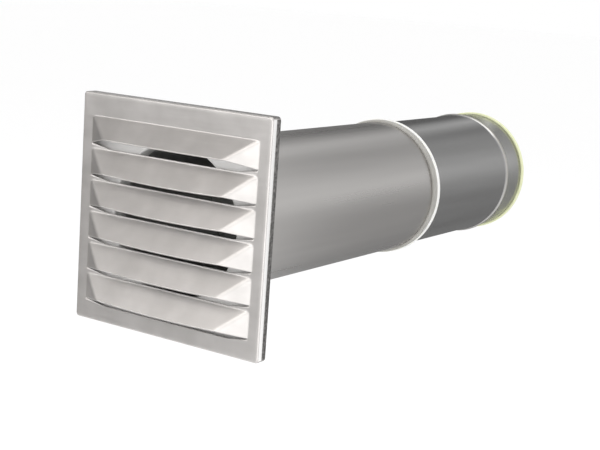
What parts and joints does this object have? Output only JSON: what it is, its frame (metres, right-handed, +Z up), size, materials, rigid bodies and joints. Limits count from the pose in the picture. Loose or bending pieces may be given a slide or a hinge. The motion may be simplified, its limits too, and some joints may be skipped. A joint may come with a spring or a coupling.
{
  "type": "wall vent box",
  "caption": "Telescopic wall vent box: a square louvred steel cover on a round duct that slides in and out to suit the wall, with ring seals.",
  "frame": {"origin": "where the duct axis meets the wall plane, which is the plane of the cover's folded rim", "axes": "+Y along the duct into the wall, +Z up, +X to the right as seen from outside"},
  "size_m": [0.19, 0.545, 0.19],
  "materials": {
    "cover_steel": "satin stainless sheet",
    "flange_steel": "mill stainless sheet",
    "duct_steel": "mill stainless sheet",
    "inner_duct_steel": "mill stainless sheet",
    "white_seal": "milky flexible plastic",
    "pale_edge_ring": "pale yellow-green flexible plastic"
  },
  "bodies": {
    "wall_part": {"louvre_plate": "cover_steel", "flange_plate": "flange_steel", "outer_tube": "duct_steel", "tube_seal_ring": "white_seal"},
    "sliding_duct": {"inner_tube": "inner_duct_steel", "end_edge_ring": "pale_edge_ring"}
  },
  "joints": [
    {"name": "duct_slide", "type": "slide", "parent": "wall_part", "child": "sliding_duct", "axis": [0, 1, 0], "range_m": [-0.114, 0.13]}
  ]
}
